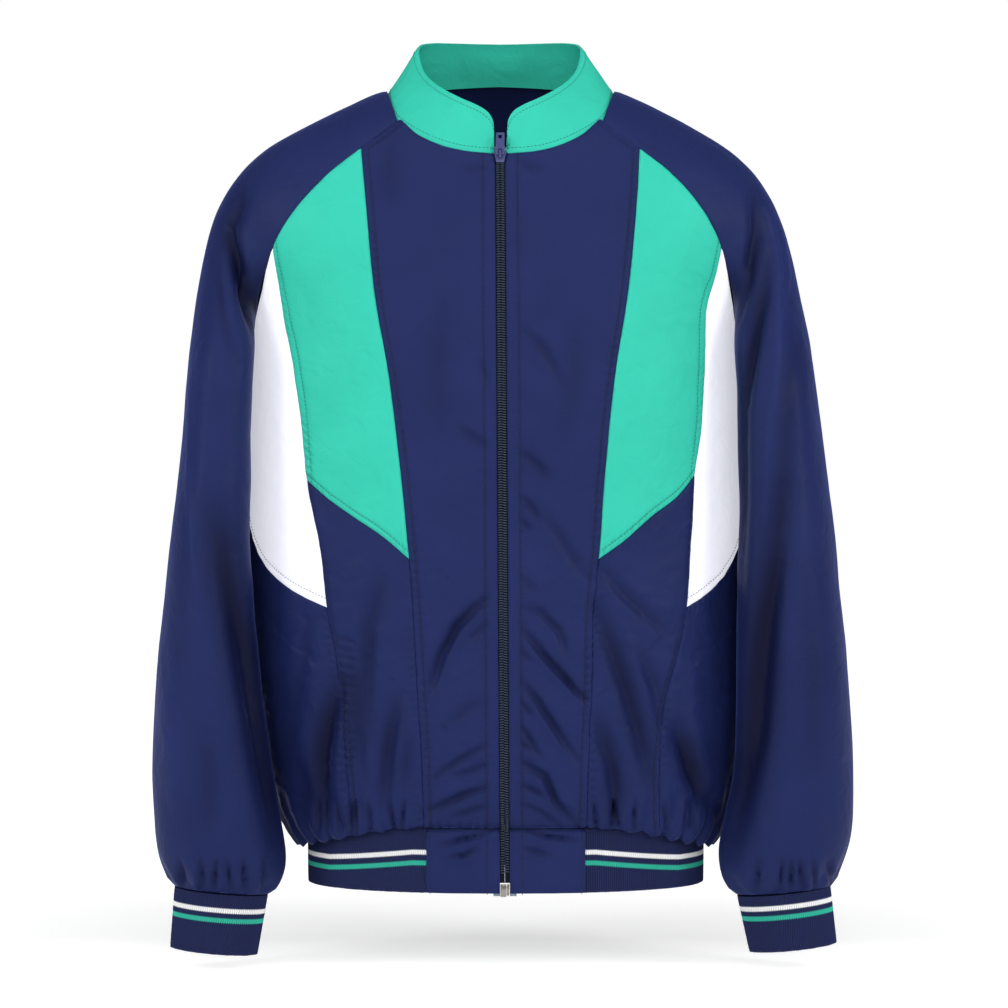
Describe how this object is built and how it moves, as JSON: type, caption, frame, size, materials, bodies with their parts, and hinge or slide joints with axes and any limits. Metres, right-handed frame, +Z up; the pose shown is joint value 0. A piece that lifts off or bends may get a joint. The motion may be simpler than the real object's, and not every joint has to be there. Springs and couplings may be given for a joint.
{
  "type": "bomber jacket",
  "caption": "Zip-front bomber jacket in worn, hollow form: stand collar, raglan sleeves, coloured chest and side panels, ribbed striped cuffs and hem.",
  "frame": {"origin": "in the middle of the neck opening, level with the neck's two side points, where a wearer's neck and shoulders hold the jacket up", "axes": "+Z up, -Y the jacket's front, +X to the wearer's left"},
  "size_m": [0.5861, 0.2753, 0.7733],
  "materials": {
    "navy_cloth": "navy woven polyester, smooth with a soft sheen",
    "green_cloth": "mint green woven polyester, soft sheen",
    "white_cloth": "white woven polyester",
    "rib_knit": "navy rib knit with one white and one green stripe",
    "zip_coil": "dark woven tape with a nylon coil",
    "painted_zip_metal": "cast metal painted navy, satin",
    "bright_zip_metal": "bright plain metal",
    "tape_film": "clear film that stiffens the ends of the tape"
  },
  "bodies": {
    "jacket": {"front_centre_right": "navy_cloth", "front_centre_left": "navy_cloth", "lower_front_right": "navy_cloth", "lower_front_left": "navy_cloth", "lower_side_right": "navy_cloth", "lower_side_left": "navy_cloth", "back": "navy_cloth", "sleeve_right": "navy_cloth", "sleeve_left": "navy_cloth", "hem_band_right": "navy_cloth", "hem_band_left": "navy_cloth", "chest_panel_right": "green_cloth", "chest_panel_left": "green_cloth", "collar": "green_cloth", "side_panel_right": "white_cloth", "side_panel_left": "white_cloth", "hem_rib": "rib_knit", "cuff_right": "rib_knit", "cuff_left": "rib_knit", "zip_half_right": "zip_coil", "zip_half_left": "zip_coil", "zip_slider": "painted_zip_metal", "zip_box": "bright_zip_metal", "zip_pin": "bright_zip_metal", "tape_film_right": "tape_film", "tape_film_left": "tape_film"},
    "pull_tab": {"zip_pull": "painted_zip_metal"}
  },
  "joints": [
    {"name": "pull_tab_hinge", "type": "hinge", "parent": "jacket", "child": "pull_tab", "pos_m": [-0.00318, -0.09952, -0.05822], "axis": [1, 0, 0], "range_deg": [0, 175]}
  ]
}
